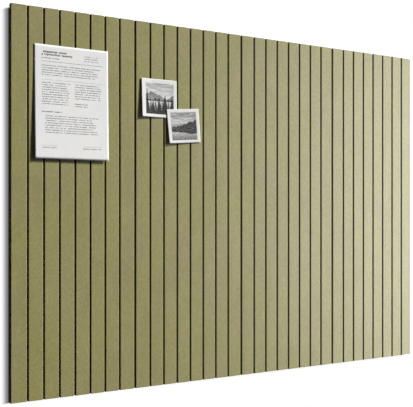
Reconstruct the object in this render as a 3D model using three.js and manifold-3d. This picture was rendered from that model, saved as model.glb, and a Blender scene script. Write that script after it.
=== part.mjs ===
// Felt bulletin board: four grooved felt panels laminated on a backing board, which hangs on a pair
// of interlocking rails. A notice sheet and two photo prints are held on it by hook dots.
// Millimetres, +Z up. X runs along the board, the wall is the plane y = 0 and the room is at -Y.
// The origin is the middle of the wall rail's back face.

import * as THREE from "three";
import { mergeVertices } from "three/addons/utils/BufferGeometryUtils.js";
import Module from "manifold-3d";

const wasm = await Module();
wasm.setup();

// Felt panels
const PANEL_COUNT = 4;
const RIBS_PER_PANEL = 8;
const BOARD_HEIGHT = 1000;
const RIB_WIDTH = 38.75;
const END_RIB_WIDTH = 42;
const GROOVE_WIDTH = 4.25;
const PANEL_GAP = 5;
const FACING_THICKNESS = 2;
const FACING_EDGE_RADIUS = 1.75;
const CORE_THICKNESS = 9;
const CORE_UNDER_GROOVE = 3;

// Backing board
const BACKING_THICKNESS = 3;
const BACKING_INSET = 2;
const BACKING_CORNER_RADIUS = 6;

// Interlocking rails, both of one profile
const RAIL_THICKNESS = 1.5;
const RAIL_FLANGE = 24;
const RAIL_TONGUE = 10;
const RAIL_CLEARANCE = 0.5;
const RAIL_SEAT_GAP = 0.25;
const WALL_RAIL_LENGTH = 1000;
const BOARD_RAIL_LENGTH = 1200;
const BOARD_TOP = 120;

// Slots for the wall screws
const SLOT_COUNT = 4;
const SLOT_LENGTH = 14;
const SLOT_WIDTH = 6;
const SLOT_FROM_END = 50;

// Screws that hold the board rail to the backing board
const SCREW_COUNT = 6;
const SCREW_FROM_END = 40;
const SCREW_SHANK_DIAMETER = 3.5;
const SCREW_HEAD_DIAMETER = 8;
const SCREW_HEAD_HEIGHT = 1.8;
const SCREW_TIP_SHORT_OF_FELT = 0.5;
const SCREW_HOLE_CLEARANCE = 0.3;

// Lower spacers, which keep the board upright against the wall
const SPACER_DIAMETER = 24;
const SPACER_EDGE = 1.5;
const SPACER_FROM_SIDE = 60;
const SPACER_FROM_BOTTOM = 60;

// Sheets on the board: places are measured to a sheet's middle from the board's left and top edges.
// The turn is anticlockwise as seen from the room, and the lift is that of the bottom left corner.
// A sheet is flat where curlAcross * share across + curlUp * share up is at least 1, and else it curls.
const NOTICE = {
  name: "notice_sheet",
  dotName: "notice_dot",
  width: 205.75,
  height: 291.75,
  thickness: 0.3,
  fromLeft: 163.125,
  fromTop: 240,
  turnDegrees: 0,
  lift: 6,
  curlAcross: 0,
  curlUp: 12 / 11,
  cells: 12,
  dotDiameter: 16,
  dotThickness: 1.5,
  dotShares: [
    [0.07, 0.96],
    [0.44, 0.96],
    [0.86, 0.96],
  ],
};
const UPPER_PRINT = {
  name: "photo_print_upper",
  dotName: "upper_print_dot",
  width: 111.5,
  height: 105.5,
  thickness: 0.4,
  fromLeft: 422.25,
  fromTop: 207,
  turnDegrees: 0.3,
  lift: 6.5,
  curlAcross: 1,
  curlUp: 1,
  cells: 8,
  dotDiameter: 12,
  dotThickness: 1.25,
  dotShares: [
    [0.42, 0.85],
    [0.82, 0.85],
    [0.82, 0.42],
  ],
};
const LOWER_PRINT = {
  name: "photo_print_lower",
  dotName: "lower_print_dot",
  width: 104.25,
  height: 95,
  thickness: 0.4,
  fromLeft: 501,
  fromTop: 278.75,
  turnDegrees: 4.6,
  lift: 4,
  curlAcross: 1,
  curlUp: 1,
  cells: 8,
  dotDiameter: 12,
  dotThickness: 2.5,
  dotShares: [
    [0.5, 0.85],
    [0.9, 0.85],
    [0.9, 0.35],
  ],
};

// How the curl grows with the distance from the flat part
const CURL_POWER = 1.5;

// Round edges and ends
const SMALL_ARC_SEGMENTS = 2;
const FACING_ARC_SEGMENTS = 4;
const GROOVE_ARC_SEGMENTS = 3;
const CORNER_ARC_SEGMENTS = 4;
const ROUND_SEGMENTS = 24;
const SCREW_SEGMENTS = 16;

// Worked out from the sizes above
const PANEL_WIDTH =
  2 * END_RIB_WIDTH + (RIBS_PER_PANEL - 2) * RIB_WIDTH + (RIBS_PER_PANEL - 1) * GROOVE_WIDTH;
const BOARD_WIDTH = PANEL_COUNT * PANEL_WIDTH + (PANEL_COUNT - 1) * PANEL_GAP;
const BOARD_LEFT = -BOARD_WIDTH / 2;
const BOARD_BOTTOM = BOARD_TOP - BOARD_HEIGHT;
const BOARD_MIDDLE = BOARD_TOP - BOARD_HEIGHT / 2;
const HOOK_DEPTH = RAIL_THICKNESS + 2 * RAIL_CLEARANCE;
const STANDOFF = HOOK_DEPTH + RAIL_THICKNESS + RAIL_CLEARANCE;
const BACKING_BACK = -STANDOFF;
const CORE_BACK = BACKING_BACK - BACKING_THICKNESS;
const FACING_BACK = CORE_BACK - CORE_THICKNESS;
const FELT_FRONT = FACING_BACK - FACING_THICKNESS;
const RAIL_TIP = RAIL_FLANGE / 2 + HOOK_DEPTH + RAIL_TONGUE;
const BOARD_RAIL_MIDDLE = RAIL_TIP + RAIL_FLANGE / 2 + RAIL_CLEARANCE + RAIL_SEAT_GAP;
const CUT_OVERRUN = RAIL_THICKNESS;

// Finishes
const OLIVE_FELT = { color: 0x939067, roughness: 0.95, metalness: 0 };
const BLACK_FELT = { color: 0x161512, roughness: 0.95, metalness: 0 };
const BLACK_FIBREBOARD = { color: 0x1f1e1c, roughness: 0.7, metalness: 0 };
const ALUMINIUM = { color: 0xc4c6c8, roughness: 0.35, metalness: 1 };
const ZINC_STEEL = { color: 0xb8babc, roughness: 0.3, metalness: 1 };
const RUBBER = { color: 0x1c1c1d, roughness: 0.85, metalness: 0 };
const PAPER = { color: 0xdedfe0, roughness: 0.85, metalness: 0 };
const PRINT_PAPER = { color: 0xe4e4e2, roughness: 0.5, metalness: 0 };
const HOOK_TAPE = { color: 0x222221, roughness: 0.8, metalness: 0 };

// Directions that an outline's own x, y and depth take in the part
const ALONG_X = new THREE.Matrix4().makeBasis(
  new THREE.Vector3(0, 1, 0),
  new THREE.Vector3(0, 0, 1),
  new THREE.Vector3(1, 0, 0),
);
const TOWARDS_ROOM = new THREE.Matrix4().makeBasis(
  new THREE.Vector3(1, 0, 0),
  new THREE.Vector3(0, 0, 1),
  new THREE.Vector3(0, -1, 0),
);

function piece(name, geometry, finish) {
  const mesh = new THREE.Mesh(geometry, new THREE.MeshStandardMaterial(finish));
  mesh.name = name;
  return mesh;
}

function extrude(outline, depth, arcSegments) {
  return new THREE.ExtrudeGeometry(outline, {
    depth,
    steps: 1,
    curveSegments: arcSegments,
    bevelEnabled: false,
  });
}

// A row of places, one span long, with equal steps about the middle
function evenly(count, span) {
  return Array.from({ length: count }, (_, i) => (count > 1 ? (i / (count - 1) - 1 / 2) * span : 0));
}

// A closed geometry as a solid that can be cut
function solidOf(geometry) {
  const bare = new THREE.BufferGeometry();
  bare.setAttribute("position", geometry.getAttribute("position"));
  bare.setIndex(geometry.getIndex());
  const merged = mergeVertices(bare);
  return new wasm.Manifold(
    new wasm.Mesh({
      numProp: 3,
      vertProperties: merged.getAttribute("position").array,
      triVerts: new Uint32Array(merged.getIndex().array),
    }),
  );
}

function geometryOf(solid) {
  const mesh = solid.getMesh();
  const geometry = new THREE.BufferGeometry();
  geometry.setAttribute("position", new THREE.BufferAttribute(mesh.vertProperties, mesh.numProp));
  geometry.setIndex(new THREE.BufferAttribute(mesh.triVerts, 1));
  geometry.computeVertexNormals();
  return geometry;
}

// Felt facing of one rib, with its two long front edges rounded. Its back lies on y = 0.
function facingGeometry(width) {
  const side = width / 2;
  const radius = FACING_EDGE_RADIUS;
  const outline = new THREE.Shape();
  outline.moveTo(-side, 0);
  outline.absarc(radius - side, radius - FACING_THICKNESS, radius, Math.PI, 1.5 * Math.PI, false);
  outline.absarc(side - radius, radius - FACING_THICKNESS, radius, 1.5 * Math.PI, 2 * Math.PI, false);
  outline.lineTo(side, 0);
  outline.closePath();
  return extrude(outline, BOARD_HEIGHT, FACING_ARC_SEGMENTS);
}

// Felt core of one panel, with round-bottomed grooves between its ribs. Its back lies on y = 0.
function coreGeometry() {
  const side = PANEL_WIDTH / 2;
  const radius = GROOVE_WIDTH / 2;
  const outline = new THREE.Shape();
  outline.moveTo(-side, 0);
  outline.lineTo(-side, -CORE_THICKNESS);
  for (let groove = 0; groove < RIBS_PER_PANEL - 1; groove++) {
    const middle = END_RIB_WIDTH - side + groove * (RIB_WIDTH + GROOVE_WIDTH) + radius;
    outline.lineTo(middle - radius, -CORE_THICKNESS);
    outline.absarc(middle, -CORE_UNDER_GROOVE - radius, radius, Math.PI, 0, true);
    outline.lineTo(middle + radius, -CORE_THICKNESS);
  }
  outline.lineTo(side, -CORE_THICKNESS);
  outline.lineTo(side, 0);
  outline.closePath();
  return extrude(outline, BOARD_HEIGHT, GROOVE_ARC_SEGMENTS);
}

// One grooved panel: a core and a facing strip on each rib
function feltPanel(index) {
  const panel = new THREE.Group();
  const core = piece(`felt_core_${index + 1}`, coreGeometry(), BLACK_FELT);
  core.position.set(0, CORE_BACK, BOARD_BOTTOM);
  panel.add(core);
  let left = -PANEL_WIDTH / 2;
  for (let rib = 0; rib < RIBS_PER_PANEL; rib++) {
    const atEnd = rib === 0 || rib === RIBS_PER_PANEL - 1;
    const width = atEnd ? END_RIB_WIDTH : RIB_WIDTH;
    const number = String(index * RIBS_PER_PANEL + rib + 1).padStart(2, "0");
    const strip = piece(`felt_strip_${number}`, facingGeometry(width), OLIVE_FELT);
    strip.position.set(left + width / 2, FACING_BACK, BOARD_BOTTOM);
    panel.add(strip);
    left += width + GROOVE_WIDTH;
  }
  panel.position.x = BOARD_LEFT + PANEL_WIDTH / 2 + index * (PANEL_WIDTH + PANEL_GAP);
  return panel;
}

function screwPlaces() {
  return evenly(SCREW_COUNT, BOARD_RAIL_LENGTH - 2 * SCREW_FROM_END);
}

// Thin backing board with round corners, bored for the rail's screws
function backingBoard() {
  const side = BOARD_WIDTH / 2 - BACKING_INSET;
  const top = BOARD_HEIGHT / 2 - BACKING_INSET;
  const radius = BACKING_CORNER_RADIUS;
  const outline = new THREE.Shape();
  outline.absarc(side - radius, top - radius, radius, 0, Math.PI / 2, false);
  outline.absarc(radius - side, top - radius, radius, Math.PI / 2, Math.PI, false);
  outline.absarc(radius - side, radius - top, radius, Math.PI, 1.5 * Math.PI, false);
  outline.absarc(side - radius, radius - top, radius, 1.5 * Math.PI, 2 * Math.PI, false);
  outline.closePath();
  const holeRadius = SCREW_SHANK_DIAMETER / 2 + SCREW_HOLE_CLEARANCE;
  for (const x of screwPlaces()) {
    const hole = new THREE.Path();
    hole.absarc(x, BOARD_RAIL_MIDDLE - BOARD_MIDDLE, holeRadius, 0, 2 * Math.PI, true);
    outline.holes.push(hole);
  }
  const geometry = extrude(outline, BACKING_THICKNESS, CORNER_ARC_SEGMENTS);
  geometry.applyMatrix4(TOWARDS_ROOM);
  const board = piece("backing_board", geometry, BLACK_FIBREBOARD);
  board.position.set(0, BACKING_BACK, BOARD_MIDDLE);
  return board;
}

// Rail profile: a flange flat on its carrier at y = 0, a joggle at 45 degrees and a hooked tongue
// whose sloping tip seats in the other rail's joggle. The sheet is equally thick all the way.
function railSolid(length) {
  const half = RAIL_FLANGE / 2;
  const tongueFront = -HOOK_DEPTH - RAIL_THICKNESS;
  const mitre = RAIL_THICKNESS * (Math.SQRT2 - 1);
  const outline = new THREE.Shape();
  outline.moveTo(0, -half);
  outline.lineTo(0, half);
  outline.lineTo(-HOOK_DEPTH, half + HOOK_DEPTH);
  outline.lineTo(-HOOK_DEPTH, RAIL_TIP - RAIL_THICKNESS);
  outline.lineTo(tongueFront, RAIL_TIP);
  outline.lineTo(tongueFront, half + HOOK_DEPTH - mitre);
  outline.lineTo(-RAIL_THICKNESS, half - mitre);
  outline.lineTo(-RAIL_THICKNESS, -half);
  outline.closePath();
  const geometry = extrude(outline, length, SMALL_ARC_SEGMENTS);
  geometry.translate(0, 0, -length / 2);
  geometry.applyMatrix4(ALONG_X);
  return solidOf(geometry);
}

// A tool that runs through a rail's flange
function flangeTool(outline, arcSegments) {
  const geometry = extrude(outline, RAIL_THICKNESS + 2 * CUT_OVERRUN, arcSegments);
  geometry.applyMatrix4(TOWARDS_ROOM);
  geometry.translate(0, CUT_OVERRUN, 0);
  return solidOf(geometry);
}

function wallRail() {
  const radius = SLOT_WIDTH / 2;
  const straight = SLOT_LENGTH / 2 - radius;
  let rail = railSolid(WALL_RAIL_LENGTH);
  for (const x of evenly(SLOT_COUNT, WALL_RAIL_LENGTH - 2 * SLOT_FROM_END)) {
    const slot = new THREE.Shape();
    slot.absarc(x + straight, 0, radius, -Math.PI / 2, Math.PI / 2, false);
    slot.absarc(x - straight, 0, radius, Math.PI / 2, 1.5 * Math.PI, false);
    slot.closePath();
    rail = rail.subtract(flangeTool(slot, CORNER_ARC_SEGMENTS));
  }
  return piece("wall_rail", geometryOf(rail), ALUMINIUM);
}

// The same profile, turned over so that its tongue points down behind the wall rail's
function boardRail() {
  const holeRadius = SCREW_SHANK_DIAMETER / 2 + SCREW_HOLE_CLEARANCE;
  let rail = railSolid(BOARD_RAIL_LENGTH);
  for (const x of screwPlaces()) {
    const hole = new THREE.Shape();
    hole.absarc(x, 0, holeRadius, 0, 2 * Math.PI, false);
    rail = rail.subtract(flangeTool(hole, CORNER_ARC_SEGMENTS));
  }
  const mesh = piece("board_rail", geometryOf(rail), ALUMINIUM);
  mesh.rotation.x = Math.PI;
  mesh.position.set(0, BACKING_BACK, BOARD_RAIL_MIDDLE);
  return mesh;
}

// Pan-head screw on the Y axis: the head's underside lies on y = 0 and the shank points at -Y
function screwGeometry() {
  const shank = SCREW_SHANK_DIAMETER / 2;
  const head = SCREW_HEAD_DIAMETER / 2;
  const length = RAIL_THICKNESS + BACKING_THICKNESS - SCREW_TIP_SHORT_OF_FELT;
  const sideShare = 0.4;
  const crownShare = 0.75;
  const profile = [
    new THREE.Vector2(0, -length),
    new THREE.Vector2(shank / 2, -length),
    new THREE.Vector2(shank, shank / 2 - length),
    new THREE.Vector2(shank, 0),
    new THREE.Vector2(head, 0),
    new THREE.Vector2(head, SCREW_HEAD_HEIGHT * sideShare),
    new THREE.Vector2(head * crownShare, SCREW_HEAD_HEIGHT),
    new THREE.Vector2(0, SCREW_HEAD_HEIGHT),
  ];
  return new THREE.LatheGeometry(profile, SCREW_SEGMENTS);
}

function boardRailScrews() {
  return screwPlaces().map((x, i) => {
    const screw = piece(`board_rail_screw_${i + 1}`, screwGeometry(), ZINC_STEEL);
    screw.position.set(x, BACKING_BACK + RAIL_THICKNESS, BOARD_RAIL_MIDDLE);
    return screw;
  });
}

// Rubber spacer between the backing board and the wall, with a tapered edge at the wall
function lowerSpacer(name, x) {
  const radius = SPACER_DIAMETER / 2;
  const profile = [
    new THREE.Vector2(0, 0),
    new THREE.Vector2(radius, 0),
    new THREE.Vector2(radius, STANDOFF - SPACER_EDGE),
    new THREE.Vector2(radius - SPACER_EDGE, STANDOFF),
    new THREE.Vector2(0, STANDOFF),
  ];
  const spacer = piece(name, new THREE.LatheGeometry(profile, ROUND_SEGMENTS), RUBBER);
  spacer.position.set(x, BACKING_BACK, BOARD_BOTTOM + SPACER_FROM_BOTTOM);
  return spacer;
}

// A thin sheet in the XZ plane about its middle. Its back is on y = 0 where it is flat, and its lower
// part or its lower left half curls off towards the room.
function curledGeometry(sheet) {
  const { width, height, thickness, lift, curlAcross, curlUp, cells } = sheet;
  const row = cells + 1;
  const back = row * row;
  const places = [];
  for (const depth of [thickness, 0]) {
    for (let j = 0; j <= cells; j++) {
      for (let i = 0; i <= cells; i++) {
        const fromFlat = Math.max(0, 1 - (curlAcross * i + curlUp * j) / cells);
        const x = (i / cells - 1 / 2) * width;
        const z = (j / cells - 1 / 2) * height;
        places.push(x, -depth - lift * fromFlat ** CURL_POWER, z);
      }
    }
  }
  const faces = [];
  for (let j = 0; j < cells; j++) {
    for (let i = 0; i < cells; i++) {
      const a = j * row + i;
      const b = a + 1;
      const c = b + row;
      const d = a + row;
      faces.push(a, b, d, b, c, d);
      faces.push(back + a, back + d, back + b, back + b, back + d, back + c);
    }
  }
  const rim = [];
  for (let k = 0; k < cells; k++) rim.push(k);
  for (let k = 0; k < cells; k++) rim.push(cells + k * row);
  for (let k = 0; k < cells; k++) rim.push(back - 1 - k);
  for (let k = 0; k < cells; k++) rim.push((cells - k) * row);
  rim.forEach((from, k) => {
    const to = rim[(k + 1) % rim.length];
    faces.push(from, back + from, back + to, from, back + to, to);
  });
  const geometry = new THREE.BufferGeometry();
  geometry.setAttribute("position", new THREE.Float32BufferAttribute(places, 3));
  geometry.setIndex(faces);
  geometry.computeVertexNormals();
  return geometry;
}

// A sheet with the hook dots that hold its flat part to the felt
function heldSheet(sheet, finish) {
  const group = new THREE.Group();
  group.add(piece(sheet.name, curledGeometry(sheet), finish));
  sheet.dotShares.forEach(([acrossShare, upShare], i) => {
    const radius = sheet.dotDiameter / 2;
    const disc = new THREE.CylinderGeometry(radius, radius, sheet.dotThickness, ROUND_SEGMENTS);
    const dot = piece(`${sheet.dotName}_${i + 1}`, disc, HOOK_TAPE);
    const x = (acrossShare - 1 / 2) * sheet.width;
    const z = (upShare - 1 / 2) * sheet.height;
    dot.position.set(x, sheet.dotThickness / 2, z);
    group.add(dot);
  });
  group.rotation.y = -THREE.MathUtils.degToRad(sheet.turnDegrees);
  const flatBack = FELT_FRONT - sheet.dotThickness;
  group.position.set(BOARD_LEFT + sheet.fromLeft, flatBack, BOARD_TOP - sheet.fromTop);
  return group;
}

const board = new THREE.Group();
for (let index = 0; index < PANEL_COUNT; index++) board.add(feltPanel(index));
board.add(backingBoard());
board.add(boardRail());
board.add(...boardRailScrews());
board.add(lowerSpacer("lower_spacer_left", BOARD_LEFT + SPACER_FROM_SIDE));
board.add(lowerSpacer("lower_spacer_right", -BOARD_LEFT - SPACER_FROM_SIDE));

const bulletinBoard = new THREE.Group();
bulletinBoard.add(wallRail());
bulletinBoard.add(board);
bulletinBoard.add(heldSheet(NOTICE, PAPER));
bulletinBoard.add(heldSheet(UPPER_PRINT, PRINT_PAPER));
bulletinBoard.add(heldSheet(LOWER_PRINT, PRINT_PAPER));

export default bulletinBoard;
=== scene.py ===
"""Looks of the felt bulletin board, with the floor, wall, lamps and camera that show it.

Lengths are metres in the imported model's frame: X along the board, +Y into the wall, +Z up.
"""

import math

import bmesh
import bpy
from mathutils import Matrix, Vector


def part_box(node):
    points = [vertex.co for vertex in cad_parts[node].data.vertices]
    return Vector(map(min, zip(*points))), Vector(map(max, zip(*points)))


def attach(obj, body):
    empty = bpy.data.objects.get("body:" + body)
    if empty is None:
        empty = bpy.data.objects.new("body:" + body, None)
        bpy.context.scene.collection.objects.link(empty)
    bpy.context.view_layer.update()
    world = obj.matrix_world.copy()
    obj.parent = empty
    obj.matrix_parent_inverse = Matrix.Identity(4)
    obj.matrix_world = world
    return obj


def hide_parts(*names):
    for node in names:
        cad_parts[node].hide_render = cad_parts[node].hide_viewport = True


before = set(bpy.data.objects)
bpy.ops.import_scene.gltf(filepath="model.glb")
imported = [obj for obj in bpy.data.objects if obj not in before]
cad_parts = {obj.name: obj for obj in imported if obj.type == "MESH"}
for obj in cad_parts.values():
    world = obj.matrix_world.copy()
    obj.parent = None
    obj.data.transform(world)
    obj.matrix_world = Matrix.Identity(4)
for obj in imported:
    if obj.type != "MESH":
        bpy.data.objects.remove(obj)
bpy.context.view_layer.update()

MM = 0.001

# Camera of the photograph
IMAGE_WIDTH_PX = 413
SENSOR_WIDTH_MM = 36
FOCAL_LENGTH_PX = 836.4
CAMERA_TURN = math.radians(32.532)
HORIZON_BELOW_MIDDLE_PX = 12.38
CAMERA_LEFT_OF_MIDDLE = 1410.1 * MM
CAMERA_FROM_FELT = 2020.1 * MM
CAMERA_BELOW_MIDDLE = 31.4 * MM
CAMERA_CLIP = (0.05, 100.0)

# Board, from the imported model
BACKING_LOW, BACKING_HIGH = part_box("backing_board")
FIRST_STRIP_LOW, FIRST_STRIP_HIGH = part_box("felt_strip_01")
FELT_FRONT = FIRST_STRIP_LOW.y
BOARD_TOP = FIRST_STRIP_HIGH.z
BOARD_BOTTOM = FIRST_STRIP_LOW.z
BOARD_HALF_WIDTH = -FIRST_STRIP_LOW.x
BOARD_MIDDLE = Vector(
    ((BACKING_LOW.x + BACKING_HIGH.x) / 2, FELT_FRONT, (BOARD_TOP + BOARD_BOTTOM) / 2)
)

# Linear base colours
OLIVE = (0.277, 0.254, 0.096)
OLIVE_DARK = (0.210, 0.192, 0.066)
OLIVE_PALE = (0.388, 0.361, 0.170)
OLIVE_FUZZ = (0.400, 0.378, 0.218)
GREENISH = (0.99, 1.007, 0.925)
GREYISH = (1.01, 0.993, 1.075)
CORE_BLACK = (0.0060, 0.0056, 0.0044)
CORE_GREY = (0.020, 0.019, 0.016)
BOARD_BLACK = (0.015, 0.014, 0.013)
BOARD_SPECK = (0.050, 0.046, 0.040)
ALUMINIUM = (0.56, 0.57, 0.58)
ALUMINIUM_DARK = (0.40, 0.41, 0.42)
ZINC = (0.50, 0.51, 0.53)
ZINC_BLUE = (0.40, 0.43, 0.50)
RUBBER_BLACK = (0.012, 0.012, 0.012)
RUBBER_DUST = (0.050, 0.048, 0.045)
PAPER_WHITE = (0.862, 0.864, 0.878)
PAPER_WARM = (0.885, 0.880, 0.865)
INK = (0.035, 0.035, 0.040)
PRINT_WHITE = (0.850, 0.850, 0.838)
PRINT_WORN = (0.775, 0.768, 0.740)
HOOK_BLACK = (0.014, 0.014, 0.014)
HOOK_WORN = (0.045, 0.045, 0.044)


class NodeTree:
    """Short calls that build the node tree of one material or world."""

    def __init__(self, owner):
        owner.use_nodes = True
        self.owner = owner
        self.nodes = owner.node_tree.nodes
        self.links = owner.node_tree.links
        self.nodes.clear()

    def set(self, socket, value):
        """Links a socket that is given as value, and else sets it as the socket's own value."""
        if isinstance(value, bpy.types.NodeSocket):
            self.links.new(value, socket)
        elif isinstance(value, tuple) and len(value) == 3 and socket.type == "RGBA":
            socket.default_value = (*value, 1.0)
        else:
            socket.default_value = value

    def node(self, kind, inputs=None, **settings):
        """A node of this kind, with its settings made and its inputs linked or set."""
        made = self.nodes.new(kind)
        for key, value in settings.items():
            setattr(made, key, value)
        for key, value in (inputs or {}).items():
            self.set(made.inputs[key], value)
        return made

    def math(self, operation, first, second=0.0):
        return self.node("ShaderNodeMath", {0: first, 1: second}, operation=operation).outputs[0]

    def total(self, *values):
        result = values[0]
        for value in values[1:]:
            result = self.math("ADD", result, value)
        return result

    def product(self, *values):
        result = values[0]
        for value in values[1:]:
            result = self.math("MULTIPLY", result, value)
        return result

    def between(self, value, low, high):
        """1 where value lies between low and high, and 0 elsewhere."""
        above = self.math("GREATER_THAN", value, low)
        below = self.math("LESS_THAN", value, high)
        return self.product(above, below)

    def ramp(self, value, low, high, to_low=0.0, to_high=1.0, smooth=True):
        """Maps value from low..high to to_low..to_high, and holds it there outside."""
        inputs = {"Value": value, "From Min": low, "From Max": high, "To Min": to_low, "To Max": to_high}
        kind = "SMOOTHSTEP" if smooth else "LINEAR"
        made = self.node("ShaderNodeMapRange", inputs, interpolation_type=kind, clamp=True)
        return made.outputs["Result"]

    def mix(self, factor, first, second, blend="MIX"):
        made = self.node("ShaderNodeMix", data_type="RGBA", blend_type=blend, clamp_factor=True)
        # Inputs 6 and 7 and output 2 are the node's colours
        self.set(made.inputs[0], factor)
        self.set(made.inputs[6], first)
        self.set(made.inputs[7], second)
        return made.outputs[2]

    def coordinates(self, stretch=(1.0, 1.0, 1.0)):
        """The place on the object in metres, times stretch."""
        where = self.node("ShaderNodeTexCoord").outputs["Object"]
        return self.node("ShaderNodeMapping", {"Vector": where, "Scale": stretch}).outputs[0]

    def noise(self, vector, scale, detail=2.0, roughness=0.5, distortion=0.0, flat=False):
        inputs = {
            "Vector": vector,
            "Scale": scale,
            "Detail": detail,
            "Roughness": roughness,
            "Distortion": distortion,
        }
        dimensions = "2D" if flat else "3D"
        return self.node("ShaderNodeTexNoise", inputs, noise_dimensions=dimensions).outputs[0]

    def random(self, first, second):
        """A number from 0 to 1 that depends on two keys."""
        where = self.node("ShaderNodeCombineXYZ", {0: first, 1: second}).outputs[0]
        made = self.node("ShaderNodeTexWhiteNoise", {"Vector": where}, noise_dimensions="2D")
        return made.outputs["Value"]

    def bump(self, height, distance, strength, below=None):
        inputs = {"Height": height, "Distance": distance, "Strength": strength}
        if below is not None:
            inputs["Normal"] = below
        return self.node("ShaderNodeBump", inputs).outputs[0]

    def finish(self, **inputs):
        """Gives the material its surface, and returns it."""
        named = {key.replace("_", " "): value for key, value in inputs.items()}
        surface = self.node("ShaderNodeBsdfPrincipled", named)
        self.node("ShaderNodeOutputMaterial", {"Surface": surface.outputs[0]})
        return self.owner


def material_tree(name):
    """The empty node tree of a new material."""
    return NodeTree(bpy.data.materials.new(name))


# How much plain olive lies over the melange, and where the pale fuzz of the long edges starts, as a
# share of a strip's width from its middle, and how strong it gets
FELT_EVENNESS = 0.62
FUZZ_START = 0.45
FUZZ_MOST = 0.40


def olive_felt():
    """Needled melange felt: fine fibres, soft blotches and paler fuzz along the milled edges."""
    tree = material_tree("olive_felt")
    where = tree.coordinates(stretch=(1.0, 1.0, 0.55))
    blotch = tree.noise(where, 26, detail=3, roughness=0.6)
    cloud = tree.noise(where, 7, detail=2)
    melange = tree.noise(where, 210, detail=4, roughness=0.65, distortion=0.8)
    fibre = tree.noise(where, 1300, detail=3, roughness=0.7, distortion=1.5)
    tone = tree.ramp(melange, 0.28, 0.72)
    colour = tree.mix(tone, OLIVE_DARK, OLIVE_PALE)
    colour = tree.mix(FELT_EVENNESS, colour, OLIVE)
    soft = tree.ramp(blotch, 0.25, 0.75, 0.93, 1.07, smooth=False)
    wide = tree.ramp(cloud, 0.3, 0.7, 0.97, 1.03, smooth=False)
    fine = tree.ramp(fibre, 0.3, 0.7, 0.86, 1.14, smooth=False)
    shade = tree.product(soft, wide, fine)
    dye = tree.noise(tree.coordinates(stretch=(1.0, 1.0, 0.4)), 15, detail=2)
    colour = tree.mix(1.0, colour, tree.mix(tree.ramp(dye, 0.36, 0.64), GREENISH, GREYISH), "MULTIPLY")
    shaded = tree.node("ShaderNodeVectorMath", {0: colour, 1: shade}, operation="MULTIPLY").outputs[0]
    across = tree.node("ShaderNodeTexCoord").outputs["Generated"]
    across = tree.node("ShaderNodeSeparateXYZ", {0: across}).outputs["X"]
    from_middle = tree.math("ABSOLUTE", tree.math("SUBTRACT", across, 0.5))
    edge = tree.ramp(from_middle, FUZZ_START, 0.5, 0.0, FUZZ_MOST)
    colour = tree.mix(edge, shaded, OLIVE_FUZZ)
    height = tree.total(tree.product(fibre, 0.6), tree.product(melange, 0.4))
    normal = tree.bump(height, 0.5 * MM, 0.55)
    return tree.finish(
        Base_Color=colour,
        Roughness=0.39,
        Specular_IOR_Level=0.12,
        Sheen_Weight=0.10,
        Sheen_Roughness=0.5,
        Sheen_Tint=(1.0, 0.98, 0.93),
        Normal=normal,
    )


def black_felt():
    """The cores' dyed black felt: near black, without gloss, with grey fibre ends."""
    tree = material_tree("black_felt")
    where = tree.coordinates()
    fibre = tree.noise(where, 1500, detail=3, roughness=0.7, distortion=1.5)
    tuft = tree.noise(where, 240, detail=3, roughness=0.6)
    colour = tree.mix(tree.ramp(fibre, 0.45, 0.8), CORE_BLACK, CORE_GREY)
    normal = tree.bump(tree.total(fibre, tuft), 0.5 * MM, 0.6)
    return tree.finish(Base_Color=colour, Roughness=0.95, Specular_IOR_Level=0.0, Normal=normal)


def black_fibreboard():
    """Pressed black fibreboard: fine chips of fibre in a dyed ground, slightly polished by the press."""
    tree = material_tree("black_fibreboard")
    where = tree.coordinates()
    speck = tree.noise(where, 620, detail=2, roughness=0.6, distortion=2.0)
    cloud = tree.noise(where, 14, detail=4)
    scuff = tree.noise(tree.coordinates(stretch=(1.0, 1.0, 12.0)), 9, detail=5, roughness=0.7)
    colour = tree.mix(tree.ramp(speck, 0.58, 0.74), BOARD_BLACK, BOARD_SPECK)
    worn = tree.ramp(scuff, 0.62, 0.8, 0.0, 0.35)
    colour = tree.mix(worn, colour, BOARD_SPECK)
    rough = tree.ramp(cloud, 0.3, 0.7, 0.52, 0.68)
    normal = tree.bump(speck, 0.15 * MM, 0.5)
    return tree.finish(Base_Color=colour, Roughness=rough, Specular_IOR_Level=0.4, Normal=normal)


def aluminium():
    """Extruded aluminium with fine die lines along its length and a thin satin anodising."""
    tree = material_tree("aluminium")
    lines = tree.noise(tree.coordinates(stretch=(0.012, 1.0, 1.0)), 2600, detail=3, roughness=0.6)
    cloud = tree.noise(tree.coordinates(), 18, detail=3)
    colour = tree.mix(tree.ramp(lines, 0.35, 0.7), ALUMINIUM_DARK, ALUMINIUM)
    rough = tree.total(tree.ramp(lines, 0.3, 0.7, 0.28, 0.40), tree.ramp(cloud, 0.3, 0.7, -0.03, 0.03))
    normal = tree.bump(lines, 0.03 * MM, 0.5)
    return tree.finish(Base_Color=colour, Metallic=1.0, Roughness=rough, Normal=normal)


def zinc_steel():
    """Zinc-plated steel with a faint blue bloom and fine scratches."""
    tree = material_tree("zinc_steel")
    where = tree.coordinates()
    bloom = tree.noise(where, 420, detail=3)
    scratch = tree.noise(where, 2400, detail=2, distortion=1.0)
    colour = tree.mix(tree.ramp(bloom, 0.35, 0.7), ZINC, ZINC_BLUE)
    rough = tree.ramp(scratch, 0.3, 0.7, 0.22, 0.38)
    normal = tree.bump(scratch, 0.02 * MM, 0.4)
    return tree.finish(Base_Color=colour, Metallic=1.0, Roughness=rough, Normal=normal)


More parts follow.
